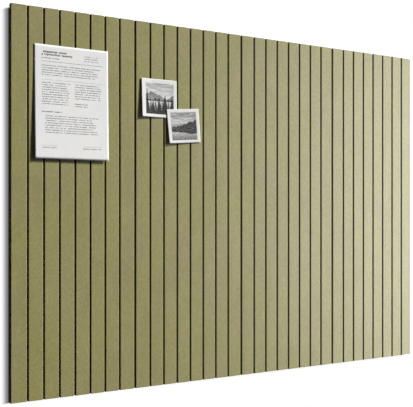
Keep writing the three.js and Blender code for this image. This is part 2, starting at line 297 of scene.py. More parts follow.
def rubber():
    """Black moulded rubber with grey dust in its grain."""
    tree = material_tree("rubber")
    where = tree.coordinates()
    dust = tree.noise(where, 160, detail=4, roughness=0.7)
    grain = tree.noise(where, 2800, detail=2)
    colour = tree.mix(tree.ramp(dust, 0.5, 0.8, 0.0, 0.6), RUBBER_BLACK, RUBBER_DUST)
    rough = tree.ramp(dust, 0.3, 0.7, 0.68, 0.86)
    normal = tree.bump(grain, 0.05 * MM, 0.5)
    return tree.finish(Base_Color=colour, Roughness=rough, Specular_IOR_Level=0.4, Normal=normal)


def hook_tape():
    """Black nylon hook tape, woven and a little worn."""
    tree = material_tree("hook_tape")
    where = tree.coordinates()
    cells = tree.node("ShaderNodeTexVoronoi", {"Vector": where, "Scale": 1400.0}, feature="F1")
    weave = cells.outputs["Distance"]
    wear = tree.noise(where, 700, detail=3)
    colour = tree.mix(tree.ramp(wear, 0.5, 0.75), HOOK_BLACK, HOOK_WORN)
    normal = tree.bump(weave, 0.1 * MM, 0.6)
    return tree.finish(Base_Color=colour, Roughness=0.62, Specular_IOR_Level=0.4, Normal=normal)


# Typed blocks of the notice, in millimetres from the sheet's left and top edges.
# Each has its left, right, top and bottom, its line pitch, letter height and letter width, how far
# its line ends vary, and the share of letter cells that hold ink.
NOTICE_BLOCKS = (
    (20, 108, 16, 30, 7.2, 5.0, 3.6, 22.0, 0.92),
    (20, 70, 33, 38, 5.0, 2.6, 2.1, 3.0, 0.84),
    (138, 190, 20, 38, 6.0, 2.2, 1.9, 18.0, 0.82),
    (20, 190, 52, 82, 6.0, 2.4, 1.9, 26.0, 0.84),
    (20, 100, 96, 156, 6.0, 2.4, 1.9, 14.0, 0.83),
    (110, 190, 96, 138, 6.0, 2.4, 1.9, 16.0, 0.83),
    (110, 158, 146, 158, 6.0, 2.4, 1.9, 22.0, 0.82),
    (20, 76, 170, 175, 5.0, 3.0, 2.4, 2.0, 0.88),
    (28, 190, 181, 229, 6.0, 2.4, 1.9, 34.0, 0.84),
    (20, 62, 262, 267, 5.0, 2.2, 1.9, 4.0, 0.82),
    (132, 186, 262, 267, 5.0, 2.2, 1.9, 6.0, 0.82),
)
TITLE_BOTTOM = 31
TITLE_STRENGTH = 0.95
TEXT_STRENGTH = 0.92
# The inked share of a letter's cell, and the lowest letter's share of the tallest
LETTER_SHARE = 0.78
LOWEST_LETTER_SHARE = 0.62
# Keys that keep the random numbers of the blocks and of their line ends apart
BLOCK_KEY_STEP = 31.0
LINE_END_KEY = 7.7
# Ruled lines of the notice: left, right, top and thickness
NOTICE_RULES = (
    (20, 190, 42.0, 0.9),
    (20, 190, 89.0, 0.5),
    (20, 62, 257.0, 0.5),
    (132, 186, 257.0, 0.5),
)


def typed_block(tree, x, down, key_start, block):
    """1 on the marks of one typed block, and 0 elsewhere."""
    left, right, top, bottom, pitch, tall, wide, ragged, full = block
    lines = tree.math("DIVIDE", tree.math("SUBTRACT", down, top), pitch)
    line = tree.math("FLOOR", lines)
    within = tree.product(tree.math("FRACT", lines), pitch)
    letters = tree.math("DIVIDE", tree.math("SUBTRACT", x, left), wide)
    letter = tree.math("FLOOR", letters)
    key = tree.math("ADD", line, key_start)
    held = tree.math("LESS_THAN", tree.random(letter, key), full)
    shortest = LOWEST_LETTER_SHARE * tall
    height = tree.ramp(tree.random(key, letter), 0.0, 1.0, shortest, tall, smooth=False)
    drawn = tree.math("LESS_THAN", within, height)
    body = tree.math("LESS_THAN", tree.math("FRACT", letters), LETTER_SHARE)
    end = tree.math("SUBTRACT", right, tree.product(tree.random(key, LINE_END_KEY), ragged))
    inside = tree.product(tree.between(down, top, bottom), tree.between(x, left, end))
    return tree.product(held, drawn, body, inside)


def notice_paper():
    """White office paper with greeked print: rows of small marks that are no letters."""
    tree = material_tree("notice_paper")
    flat = tree.node("ShaderNodeUVMap", uv_map="flat_mm").outputs[0]
    place = tree.node("ShaderNodeSeparateXYZ", {0: flat})
    x = place.outputs["X"]
    down = place.outputs["Y"]
    ink = None
    for index, block in enumerate(NOTICE_BLOCKS):
        mark = typed_block(tree, x, down, BLOCK_KEY_STEP * (index + 1), block)
        ink = mark if ink is None else tree.math("MAXIMUM", ink, mark)
    for left, right, top, thick in NOTICE_RULES:
        rule = tree.product(tree.between(down, top, top + thick), tree.between(x, left, right))
        ink = tree.math("MAXIMUM", ink, rule)
    where = tree.coordinates()
    pulp = tree.noise(where, 1800, detail=3)
    cloud = tree.noise(where, 22, detail=3)
    paper = tree.mix(tree.ramp(cloud, 0.35, 0.65), PAPER_WHITE, PAPER_WARM)
    title = tree.math("LESS_THAN", down, TITLE_BOTTOM)
    strength = tree.ramp(title, 0.0, 1.0, TEXT_STRENGTH, TITLE_STRENGTH, smooth=False)
    colour = tree.mix(tree.product(ink, strength), paper, INK)
    normal = tree.bump(pulp, 0.03 * MM, 0.5)
    normal = tree.bump(cloud, 1.2 * MM, 0.5, below=normal)
    return tree.finish(Base_Color=colour, Roughness=0.88, Specular_IOR_Level=0.12, Normal=normal)


def print_surface(tree, picture, inside):
    """Semi-matt photo paper: the picture's grey inside a white border that is a little worn."""
    where = tree.coordinates()
    grain = tree.noise(where, 2600, detail=2)
    wear = tree.noise(where, 60, detail=4)
    border = tree.mix(tree.ramp(wear, 0.5, 0.75, 0.0, 0.7), PRINT_WHITE, PRINT_WORN)
    grained = tree.product(picture, tree.ramp(grain, 0.3, 0.7, 0.88, 1.12, smooth=False))
    grey = tree.node("ShaderNodeCombineColor", {0: grained, 1: grained, 2: grained}).outputs[0]
    colour = tree.mix(inside, border, grey)
    rough = tree.ramp(wear, 0.3, 0.7, 0.40, 0.50)
    normal = tree.bump(wear, 0.6 * MM, 0.4)
    return tree.finish(Base_Color=colour, Roughness=rough, Specular_IOR_Level=0.035, Normal=normal)


def picture_place(tree, margins):
    """Shares across and up the picture, and 1 inside its left, right, low and high margins."""
    flat = tree.node("ShaderNodeUVMap", uv_map="flat").outputs[0]
    place = tree.node("ShaderNodeSeparateXYZ", {0: flat})
    left, right, low, high = margins
    across = tree.ramp(place.outputs["X"], left, 1 - right, smooth=False)
    up = tree.ramp(place.outputs["Y"], low, 1 - high, smooth=False)
    inside = tree.product(
        tree.between(place.outputs["X"], left, 1 - right),
        tree.between(place.outputs["Y"], low, 1 - high),
    )
    return across, up, inside


def ridge(tree, across, up, base, rise, waves, seed):
    """1 below a hilly skyline, and 0 above it."""
    along = tree.node("ShaderNodeCombineXYZ", {0: across, 1: seed}).outputs[0]
    hills = tree.noise(along, waves, detail=5, roughness=0.55, flat=True)
    skyline = tree.ramp(hills, 0.25, 0.75, base, base + rise, smooth=False)
    return tree.math("LESS_THAN", up, skyline)


def firs(tree, across, up, base, tallest, count, seed):
    """1 inside a row of pointed trees of unlike heights and widths that stand on base, and 0 outside."""
    cells = tree.math("ADD", tree.product(across, count), seed)
    key = tree.math("FLOOR", cells)
    tall = tree.ramp(tree.random(key, seed), 0.0, 1.0, 0.35 * tallest, tallest, smooth=False)
    broad = tree.ramp(tree.random(key, seed + 1.7), 0.0, 1.0, 0.32, 0.62, smooth=False)
    middle = tree.ramp(tree.random(key, seed + 3.9), 0.0, 1.0, 0.36, 0.64, smooth=False)
    share = tree.math("DIVIDE", tree.math("SUBTRACT", up, base), tall)
    boughs = tree.math("FRACT", tree.product(share, 7.0))
    half = tree.product(tree.math("SUBTRACT", 1.0, share), broad)
    half = tree.product(half, tree.ramp(boughs, 0.0, 1.0, 1.15, 0.7, smooth=False))
    aside = tree.math("ABSOLUTE", tree.math("SUBTRACT", tree.math("FRACT", cells), middle))
    crown = tree.math("LESS_THAN", aside, half)
    return tree.math("MAXIMUM", crown, tree.math("LESS_THAN", up, base))


def layered(tree, tone, *layers):
    """Lays each mask's own tone over the tone so far."""
    for mask, own in layers:
        keep = tree.math("SUBTRACT", 1.0, mask)
        tone = tree.total(tree.product(tone, keep), tree.product(own, mask))
    return tone


def lake_print():
    """Grey picture of a lake under hills, with firs on the near shore."""
    tree = material_tree("lake_print")
    across, up, inside = picture_place(tree, (0.115, 0.085, 0.085, 0.105))
    where = tree.node("ShaderNodeCombineXYZ", {0: across, 1: up}).outputs[0]
    wide = tree.node("ShaderNodeMapping", {"Vector": where, "Scale": (1.2, 5.0, 1.0)}).outputs[0]
    cloud = tree.noise(wide, 3.0, detail=5, flat=True)
    sky = tree.total(tree.ramp(up, 0.45, 1.0, 0.80, 0.52), tree.ramp(cloud, 0.4, 0.7, -0.10, 0.14))
    texture = tree.noise(where, 22.0, detail=4, flat=True)
    far = tree.total(tree.ramp(up, 0.4, 0.75, 0.34, 0.18), tree.ramp(texture, 0.3, 0.7, -0.04, 0.04))
    near = tree.ramp(texture, 0.3, 0.7, 0.03, 0.12)
    ripples = tree.node("ShaderNodeMapping", {"Vector": where, "Scale": (3.0, 60.0, 1.0)}).outputs[0]
    ripple = tree.noise(ripples, 1.6, detail=3, flat=True)
    water = tree.total(tree.ramp(up, 0.15, 0.42, 0.26, 0.62), tree.ramp(ripple, 0.35, 0.65, -0.10, 0.12))
    behind = tree.ramp(texture, 0.3, 0.7, 0.05, 0.16)
    shore = tree.ramp(texture, 0.3, 0.7, 0.012, 0.07)
    tone = layered(
        tree,
        sky,
        (ridge(tree, across, up, base=0.50, rise=0.30, waves=2.2, seed=3.1), far),
        (ridge(tree, across, up, base=0.38, rise=0.24, waves=3.4, seed=8.4), near),
        (tree.math("LESS_THAN", up, 0.42), water),
        (firs(tree, across, up, base=0.20, tallest=0.34, count=11.0, seed=2.6), behind),
        (firs(tree, across, up, base=0.10, tallest=0.80, count=4.6, seed=5.3), shore),
    )
    return print_surface(tree, tone, inside)


def coast_print():
    """Grey picture of a headland over a calm sea, with a pale beach in front."""
    tree = material_tree("coast_print")
    across, up, inside = picture_place(tree, (0.105, 0.095, 0.085, 0.095))
    where = tree.node("ShaderNodeCombineXYZ", {0: across, 1: up}).outputs[0]
    wide = tree.node("ShaderNodeMapping", {"Vector": where, "Scale": (1.0, 4.0, 1.0)}).outputs[0]
    cloud = tree.noise(wide, 4.0, detail=5, flat=True)
    sky = tree.total(tree.ramp(up, 0.5, 1.0, 0.66, 0.34), tree.ramp(cloud, 0.4, 0.7, -0.08, 0.18))
    texture = tree.noise(where, 18.0, detail=5, flat=True)
    rock = tree.ramp(texture, 0.3, 0.7, 0.012, 0.13)
    swell = tree.node("ShaderNodeMapping", {"Vector": where, "Scale": (2.0, 46.0, 1.0)}).outputs[0]
    waves = tree.noise(swell, 2.0, detail=3, flat=True)
    sea = tree.total(tree.ramp(up, 0.2, 0.58, 0.13, 0.32), tree.ramp(waves, 0.4, 0.68, -0.06, 0.16))
    sand = tree.total(tree.ramp(up, 0.0, 0.3, 0.20, 0.48), tree.ramp(texture, 0.3, 0.7, -0.07, 0.08))
    slope = tree.ramp(across, 0.30, 1.0, 0.0, 0.34, smooth=False)
    lowered = tree.math("SUBTRACT", up, slope)
    bay = tree.ramp(across, 0.0, 1.0, 0.10, 0.0)
    above_bay = tree.math("SUBTRACT", up, bay)
    tone = layered(
        tree,
        sky,
        (tree.math("LESS_THAN", up, 0.58), sea),
        (ridge(tree, across, lowered, base=0.38, rise=0.16, waves=4.2, seed=2.7), rock),
        (ridge(tree, across, above_bay, base=0.16, rise=0.10, waves=1.7, seed=6.2), sand),
    )
    return print_surface(tree, tone, inside)


WELD_DISTANCE = 0.01 * MM
EASE_ABOVE = math.radians(30)
EASE_SEGMENTS = 2
RAIL_EASE = 0.2 * MM
BACKING_EASE = 0.3 * MM


def nodes_named(start):
    """The CAD nodes whose names begin with start, in order."""
    return sorted(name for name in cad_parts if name.startswith(start))


def dress(nodes, material):
    """Gives CAD nodes their material and slot."""
    for name in nodes:
        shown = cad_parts[name]
        shown.data.materials.clear()
        shown.data.materials.append(material)


def ease_edges(nodes, width):
    """Welds CAD nodes' split vertices and rounds their sharp edges by width."""
    for name in nodes:
        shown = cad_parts[name]
        weld = shown.modifiers.new("weld", "WELD")
        weld.merge_threshold = WELD_DISTANCE
        bevel = shown.modifiers.new("bevel", "BEVEL")
        bevel.width = width
        bevel.segments = EASE_SEGMENTS
        bevel.limit_method = "ANGLE"
        bevel.angle_limit = EASE_ABOVE


def new_piece(name, mesh, material, body, slot, *replaced):
    """A piece of the dressed part that rides with body and takes the place of CAD nodes."""
    made = bpy.data.objects.new(name, mesh)
    bpy.context.scene.collection.objects.link(made)
    made.data.materials.append(material)
    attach(made, body)
    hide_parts(*replaced)
    return made


SMOOTH_BELOW = math.radians(40)


def mesh_of(work, name):
    """Turns a work mesh into a mesh of the scene, smooth but for its sharp edges."""
    for face in work.faces:
        face.smooth = True
    for edge in work.edges:
        edge.smooth = edge.calc_face_angle(0.0) < SMOOTH_BELOW
    made = bpy.data.meshes.new(name)
    work.to_mesh(made)
    work.free()
    return made


# Sheets: true thickness, thickness in the CAD model, turn as seen from the room, and curl.
# A sheet is flat where the first curl rate * share across + the second * share up is at least 1.
SHEET_THICKNESS = {
    "notice_sheet": 0.16 * MM,
    "photo_print_upper": 0.30 * MM,
    "photo_print_lower": 0.30 * MM,
}
CAD_THICKNESS = {
    "notice_sheet": 0.3 * MM,
    "photo_print_upper": 0.4 * MM,
    "photo_print_lower": 0.4 * MM,
}
SHEET_TURN = {
    "notice_sheet": 0.0,
    "photo_print_upper": math.radians(0.3),
    "photo_print_lower": math.radians(4.6),
}
SHEET_CURL = {
    "notice_sheet": (0.0, 12 / 11),
    "photo_print_upper": (1.35, 0.62),
    "photo_print_lower": (1.0, 1.0),
}
CURL_POWER = 1.5
SHEET_CELLS = 48
SHEET_WAVE = 0.10 * MM
HALF_WAVES_ACROSS = 5


def sheet_size(node):
    """Width and height of a sheet before its turn, from the box round it."""
    low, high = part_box(node)
    cosine = math.cos(SHEET_TURN[node])
    sine = math.sin(SHEET_TURN[node])
    across, up = high.x - low.x, high.z - low.z
    scale = cosine * cosine - sine * sine
    return (across * cosine - up * sine) / scale, (up * cosine - across * sine) / scale


def sheet_place(node, size, lift, depth, u, v):
    """A point of a curled sheet, seen from the sheet's flat middle, at its shares u across and v up."""
    width, height = size
    turn = SHEET_TURN[node]
    curl_across, curl_up = SHEET_CURL[node]
    curl = lift * max(0.0, 1 - curl_across * u - curl_up * v) ** CURL_POWER
    wave = SHEET_WAVE * (1 - math.cos(HALF_WAVES_ACROSS * math.pi * u)) * math.sin(math.pi * v) ** 2
    x, z = (u - 0.5) * width, (v - 0.5) * height
    turned_x = x * math.cos(turn) - z * math.sin(turn)
    turned_z = x * math.sin(turn) + z * math.cos(turn)
    return Vector((turned_x, -depth - curl - wave, turned_z))


def join_layers(mesh, front, back):
    """The faces of a sheet: its front, its back and the rim between them."""
    cells = SHEET_CELLS
    for j in range(cells):
        for i in range(cells):
            mesh.faces.new((front[j][i], front[j][i + 1], front[j + 1][i + 1], front[j + 1][i]))
            mesh.faces.new((back[j][i], back[j + 1][i], back[j + 1][i + 1], back[j][i + 1]))
    rim = [(0, i) for i in range(cells)] + [(j, cells) for j in range(cells)]
    rim += [(cells, cells - i) for i in range(cells)] + [(cells - j, 0) for j in range(cells)]
    for k, (j, i) in enumerate(rim):
        next_j, next_i = rim[(k + 1) % len(rim)]
        mesh.faces.new((front[j][i], back[j][i], back[next_j][next_i], front[next_j][next_i]))


def sheet_mesh(node):
    """A fine curled sheet in the place of its CAD solid, with its flat coordinates kept as UVs."""
    low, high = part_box(node)
    size = sheet_size(node)
    lift = high.y - low.y - CAD_THICKNESS[node]
    middle = Vector(((low.x + high.x) / 2, high.y, (low.z + high.z) / 2))
    mesh = bmesh.new()
    flat_share = mesh.loops.layers.uv.new("flat")
    flat_mm = mesh.loops.layers.uv.new("flat_mm")
    shares = {}
    layers = []
    for depth in (SHEET_THICKNESS[node], 0.0):
        rows = []
        for j in range(SHEET_CELLS + 1):
            row = []
            for i in range(SHEET_CELLS + 1):
                u, v = i / SHEET_CELLS, j / SHEET_CELLS
                vertex = mesh.verts.new(middle + sheet_place(node, size, lift, depth, u, v))
                shares[vertex] = (u, v)
                row.append(vertex)
            rows.append(row)
        layers.append(rows)
    join_layers(mesh, *layers)
    for face in mesh.faces:
        for loop in face.loops:
            u, v = shares[loop.vert]
            loop[flat_share].uv = (u, v)
            loop[flat_mm].uv = (u * size[0] / MM, (1 - v) * size[1] / MM)
    return mesh_of(mesh, node + "_mesh")


# Steps round a screw, a dot or a spacer
RIM_STEPS = 48


def round_place(node):
    """Where a round piece starts and ends along Y, its middle across Y, and its radius."""
    low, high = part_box(node)
    middle = Vector(((low.x + high.x) / 2, 0, (low.z + high.z) / 2))
    return low.y, high.y, middle, (high.x - low.x) / 2


def lathe(profile, steps, middle):
    """A closed solid of revolution about Y from (radius, y) points that start and end on the axis."""
    mesh = bmesh.new()
    rings = []
    for radius, y in profile:
        if radius == 0:
            rings.append([mesh.verts.new(middle + Vector((0, y, 0)))])
            continue
        ring = []
        for k in range(steps):
            angle = 2 * math.pi * k / steps
            from_axis = Vector((radius * math.cos(angle), y, radius * math.sin(angle)))
            ring.append(mesh.verts.new(middle + from_axis))
        rings.append(ring)
    for lower, upper in zip(rings, rings[1:]):
        for k in range(steps):
            following = (k + 1) % steps
            if len(lower) == 1:
                mesh.faces.new((lower[0], upper[k], upper[following]))
            elif len(upper) == 1:
                mesh.faces.new((lower[k], upper[0], lower[following]))
            else:
                mesh.faces.new((lower[k], upper[k], upper[following], lower[following]))
    bmesh.ops.recalc_face_normals(mesh, faces=mesh.faces)
    return mesh


def rounded(radius, low, high, edge, steps=4):
    """Profile of a disc from low to high on its axis, with both rims rounded by edge."""
    points = [(0, low)]
    for k in range(steps + 1):
        angle = math.pi / 2 * k / steps
        points.append((radius - edge + edge * math.sin(angle), low + edge - edge * math.cos(angle)))
    for k in range(steps + 1):
        angle = math.pi / 2 * k / steps
        points.append((radius - edge + edge * math.cos(angle), high - edge + edge * math.sin(angle)))
    points.append((0, high))
    return points


def settle(piece):
    """Applies a piece's modifiers to its mesh."""
    bpy.context.view_layer.update()
    evaluated = piece.evaluated_get(bpy.context.evaluated_depsgraph_get())
    final = bpy.data.meshes.new_from_object(evaluated)
    piece.modifiers.clear()
    piece.data = final


# Screws. The head's underside is a share of the screw's depth, the shank one of the head's radius, the
# shank's bevel one of its own radius, and the head's upright side one of the head's depth.
SCREW_SEAT_SHARE = 4.0 / 5.8
SCREW_SHANK_SHARE = 3.5 / 8.0
SCREW_BEVEL_SHARE = 0.5
SCREW_SIDE_SHARE = 0.35
SCREW_EDGE = 0.25 * MM
SCREW_CROWN_STEPS = 8
# Cross recess: its reach and half width as shares of the head's radius, its depth as one of the head's,
# and how much smaller its floor is than its mouth
RECESS_LENGTH_SHARE = 0.62
RECESS_WIDTH_SHARE = 0.16
RECESS_DEPTH_SHARE = 0.62
RECESS_TAPER = 0.8


def screw_profile(head_radius, tip, seat, crown):
    """Profile of a screw from the tip of its shank to the crown of its head."""
    shank_radius = head_radius * SCREW_SHANK_SHARE
    bevel = shank_radius * SCREW_BEVEL_SHARE
    side = seat + (crown - seat) * SCREW_SIDE_SHARE
    profile = [
        (0, tip),
        (bevel, tip),
        (shank_radius, tip + bevel),
        (shank_radius, seat),
        (head_radius - SCREW_EDGE, seat),
        (head_radius, seat + SCREW_EDGE),
    ]
    for k in range(SCREW_CROWN_STEPS):
        angle = math.pi / 2 * k / SCREW_CROWN_STEPS
        profile.append((head_radius * math.cos(angle), side + (crown - side) * math.sin(angle)))
    profile.append((0, crown))
    return profile


def recess_cutter(name, middle, head_radius, seat, crown):
    """The tapered cross that is cut out of a screw's head."""
    reach = head_radius * RECESS_LENGTH_SHARE
    half = head_radius * RECESS_WIDTH_SHARE
    tall = crown - seat
    depth = tall * RECESS_DEPTH_SHARE
    outline = [
        (reach, half), (half, half), (half, reach), (-half, reach), (-half, half), (-reach, half),
        (-reach, -half), (-half, -half), (-half, -reach), (half, -reach), (half, -half), (reach, -half),
    ]
    work = bmesh.new()
    floor = []
    for x, z in outline:
        floor.append(work.verts.new(middle + Vector((x * RECESS_TAPER, crown - depth, z * RECESS_TAPER))))
    mouth = [work.verts.new(middle + Vector((x, crown + tall, z))) for x, z in outline]
    work.faces.new(floor)
    work.faces.new(list(reversed(mouth)))
    for k in range(len(outline)):
        following = (k + 1) % len(outline)
        work.faces.new((floor[k], floor[following], mouth[following], mouth[k]))
    bmesh.ops.recalc_face_normals(work, faces=work.faces)
    mesh = bpy.data.meshes.new(name)
    work.to_mesh(mesh)
    work.free()
    cutter = bpy.data.objects.new(name, mesh)
    bpy.context.scene.collection.objects.link(cutter)
    return cutter


def screw(node):
    """A pan-head screw with a domed crown and a cross recess, in the place of its CAD solid."""
    tip, crown, middle, head_radius = round_place(node)
    seat = tip + (crown - tip) * SCREW_SEAT_SHARE
    work = lathe(screw_profile(head_radius, tip, seat, crown), RIM_STEPS, middle)
    made = mesh_of(work, node + "_mesh")
    piece = new_piece(node + "_detail", made, ZINC_STEEL_LOOK, "board", "zinc_steel", node)
    cutter = recess_cutter(node + "_recess", middle, head_radius, seat, crown)
    boolean = piece.modifiers.new("recess", "BOOLEAN")
    boolean.operation = "DIFFERENCE"
    boolean.object = cutter
    settle(piece)
    bpy.data.objects.remove(cutter)


HOOK_BASE = 0.45 * MM
HOOK_EDGE = 0.12 * MM
HOOK_PITCH = 1.5 * MM
HOOK_ROW_SHARE = math.sqrt(0.75)
HOOK_RADIUS = 0.13 * MM
HOOK_HEAD_RADIUS = 0.32 * MM
# Shares of the hook's radius, but for the crown's, which is one of the head's radius
HOOK_FOOT_SHARE = 1.6
HOOK_BRIM_SHARE = 0.6
HOOK_DOME_SHARE = 0.4
HOOK_CROWN_SHARE = 0.7
HOOK_STEPS = 7


def hook_profile(base, crown):
    """Profile of one mushroom hook, from inside the tape's base to the hook's crown."""
    foot = base - HOOK_EDGE
    neck = crown - HOOK_HEAD_RADIUS
    return [
        (0, foot),
        (HOOK_RADIUS * HOOK_FOOT_SHARE, foot),
        (HOOK_RADIUS, base + HOOK_RADIUS),
        (HOOK_RADIUS, neck),
        (HOOK_HEAD_RADIUS, neck + HOOK_RADIUS * HOOK_BRIM_SHARE),
        (HOOK_HEAD_RADIUS * HOOK_CROWN_SHARE, crown - HOOK_RADIUS * HOOK_DOME_SHARE),
        (0, crown),
    ]


def hook_dot(node, body):
    """A round of hook tape: a thin base on the sheet and a field of small mushroom hooks to the felt."""
    start, crown, middle, radius = round_place(node)
    base = start + HOOK_BASE
    made = mesh_of(lathe(rounded(radius, start, base, HOOK_EDGE), RIM_STEPS, middle), node + "_mesh")
    joined = bmesh.new()
    joined.from_mesh(made)
    bpy.data.meshes.remove(made)
    profile = hook_profile(base, crown)
    reach = int(radius / HOOK_PITCH) + 1
    for j in range(-reach, reach + 1):
        for i in range(-reach, reach + 1):
            x = (i + (j % 2) * 0.5) * HOOK_PITCH
            z = j * HOOK_PITCH * HOOK_ROW_SHARE
            if math.hypot(x, z) > radius - HOOK_HEAD_RADIUS - HOOK_EDGE:
                continue
            hook = lathe(profile, HOOK_STEPS, middle + Vector((x, 0, z)))
            hook_mesh = bpy.data.meshes.new("hook")
            hook.to_mesh(hook_mesh)
            hook.free()
            joined.from_mesh(hook_mesh)
            bpy.data.meshes.remove(hook_mesh)
    made = mesh_of(joined, node + "_mesh")
    new_piece(node + "_detail", made, HOOK_TAPE_LOOK, body, "hook_tape", node)


SPACER_EDGE = 1.4 * MM
SPACER_EDGE_STEPS = 6
SPACER_DISH = 0.5 * MM
SPACER_DISH_SHARE = 0.55


def spacer(node):
    """A moulded rubber spacer with a rounded rim and a shallow dish in its wall side."""
    start, end, middle, radius = round_place(node)
    profile = rounded(radius, start, end, SPACER_EDGE, SPACER_EDGE_STEPS)[:-1]
    dish = radius * SPACER_DISH_SHARE
    floor = end - SPACER_DISH
    profile += [(dish, end), (dish - SPACER_DISH, floor), (0, floor)]
    made = mesh_of(lathe(profile, RIM_STEPS, middle), node + "_mesh")
    new_piece(node + "_detail", made, RUBBER_LOOK, "board", "rubber", node)


OLIVE_FELT_LOOK = olive_felt()
BLACK_FELT_LOOK = black_felt()
FIBREBOARD_LOOK = black_fibreboard()
ALUMINIUM_LOOK = aluminium()
ZINC_STEEL_LOOK = zinc_steel()
RUBBER_LOOK = rubber()
HOOK_TAPE_LOOK = hook_tape()

RAILS = ("wall_rail", "board_rail")
dress(nodes_named("felt_strip_"), OLIVE_FELT_LOOK)
dress(nodes_named("felt_core_"), BLACK_FELT_LOOK)
dress(["backing_board"], FIBREBOARD_LOOK)
dress(RAILS, ALUMINIUM_LOOK)
ease_edges(RAILS, RAIL_EASE)
ease_edges(["backing_board"], BACKING_EASE)

for name in nodes_named("board_rail_screw_"):
    screw(name)
for name in ("lower_spacer_left", "lower_spacer_right"):
    spacer(name)

# The material, the slot and the hook dots of each sheet
SHEETS = {
    "notice_sheet": (notice_paper(), "paper", "notice_dot_"),
    "photo_print_upper": (lake_print(), "print_paper", "upper_print_dot_"),
    "photo_print_lower": (coast_print(), "print_paper", "lower_print_dot_"),
}
for name, (look, slot, dots) in SHEETS.items():
    new_piece(name + "_detail", sheet_mesh(name), look, name, slot, name)
    for dot in nodes_named(dots):
        hook_dot(dot, name)

# Floor and wall, which aren't part of the object
STAGE_WHITE = (0.98, 0.98, 0.98)
FLOOR_BELOW_BOARD = 0.9
FLOOR_SIZE = 30.0
FLOOR_COLOUR = (0.38, 0.378, 0.374)
FLOOR_PALE = (0.41, 0.408, 0.404)
FLOOR_BOUNCE = (0.03, 0.03, 0.03)
FLOOR_GLOW = 0.62
# How far out the floor starts and ends fading into the background
FLOOR_PLAIN = 1.8
FLOOR_REACH = 3.6
# The wall's face, and how far outside the board the wall starts and ends fading away
WALL_Y = 0.5 * MM
WALL_PLAIN = 50 * MM
WALL_REACH = 120 * MM
# The wall's glow, lowered near the board to paint shade over the lamps' real shadow, by the distance
# outside
# the board: dark up to the first, a little glow at the second and all of it at the third
WALL_DARK_END = -1.0 * MM
WALL_SHADE_START = 1.5 * MM
WALL_SHADE_REACH = 20 * MM
WALL_GLOW = 0.20
# How softly the painted shade ends at the top corners and under the board, where glow hides the real
# shadow
WALL_SHADE_SOFT = 6 * MM
WALL_GLOW_EDGE = 4 * MM


def seen_directly(tree):
    """1 for rays from the camera and for those that gloss and glass send on, and 0 for the others."""
    path = tree.node("ShaderNodeLightPath")
    sent_on = tree.math("MAXIMUM", path.outputs["Is Glossy Ray"], path.outputs["Is Transmission Ray"])
    return tree.math("MAXIMUM", path.outputs["Is Camera Ray"], sent_on)


def glowing_paint(tree, colour, glow):
    """Matt paint that gives off white light of its own."""
    paint = tree.node("ShaderNodeBsdfDiffuse", {"Color": colour}).outputs[0]
    shine = tree.node("ShaderNodeEmission", {"Color": STAGE_WHITE, "Strength": glow}).outputs[0]
    return tree.node("ShaderNodeAddShader", {0: paint, 1: shine}).outputs[0]


def stage_plane(name, corners, material):
    """A flat piece of the surroundings."""
    mesh = bpy.data.meshes.new(name)
    mesh.from_pydata(corners, [], [(0, 1, 2, 3)])
    plane = bpy.data.objects.new(name, mesh)
    bpy.context.scene.collection.objects.link(plane)
    plane.data.materials.append(material)


def wall_material():
    """A white wall that is seen only from the room, so it hides nothing from behind.

    It fades out a little way round the board. Near the board its glow is lowered, which paints shade over
    the lamps' real shadow, but for the corners at its top and the place below the board, where full glow
    paints light over the real shadow.
    """
    tree = material_tree("stage_wall")
    seen = seen_directly(tree)
    behind = tree.node("ShaderNodeNewGeometry").outputs["Backfacing"]
    place = tree.node("ShaderNodeSeparateXYZ", {0: tree.coordinates()})
    beside = tree.math("SUBTRACT", tree.math("ABSOLUTE", place.outputs["X"]), BOARD_HALF_WIDTH)
    above = tree.math("SUBTRACT", place.outputs["Z"], BOARD_TOP)
    below = tree.math("SUBTRACT", BOARD_BOTTOM, place.outputs["Z"])
    outside = tree.math("MAXIMUM", beside, tree.math("MAXIMUM", above, below))
    near = tree.ramp(outside, WALL_PLAIN, WALL_REACH, 1.0, 0.0)
    shown = tree.product(seen, tree.math("SUBTRACT", 1.0, behind), near)
    # Painted shade: glow lowered near the board, none behind its edge, rising over 20 mm off it
    painted_contact_shade = tree.ramp(outside, WALL_DARK_END, WALL_SHADE_START, 0.0, WALL_GLOW)
    painted_soft_shadow = tree.ramp(outside, WALL_SHADE_START, WALL_SHADE_REACH, 0.0, 1.0 - WALL_GLOW)
    open_top = tree.ramp(tree.math("ADD", beside, above), -WALL_SHADE_SOFT, WALL_SHADE_SOFT)
    # Painted light: full glow under the board that hides the lamps' real shadow there
    painted_light_below_board = tree.ramp(below, 0.0, WALL_GLOW_EDGE)
    painted_light_mask = tree.math("MAXIMUM", open_top, painted_light_below_board)
    clear_of_board = tree.ramp(outside, WALL_DARK_END, WALL_SHADE_START)
    glow = tree.math("MAXIMUM", tree.total(painted_contact_shade, painted_soft_shadow), tree.product(painted_light_mask, clear_of_board))
    lit = glowing_paint(tree, STAGE_WHITE, glow)
    clear = tree.node("ShaderNodeBsdfTransparent").outputs[0]
    surface = tree.node("ShaderNodeMixShader", {0: shown, 1: clear, 2: lit}).outputs[0]
    tree.node("ShaderNodeOutputMaterial", {"Surface": surface})
    return tree.owner


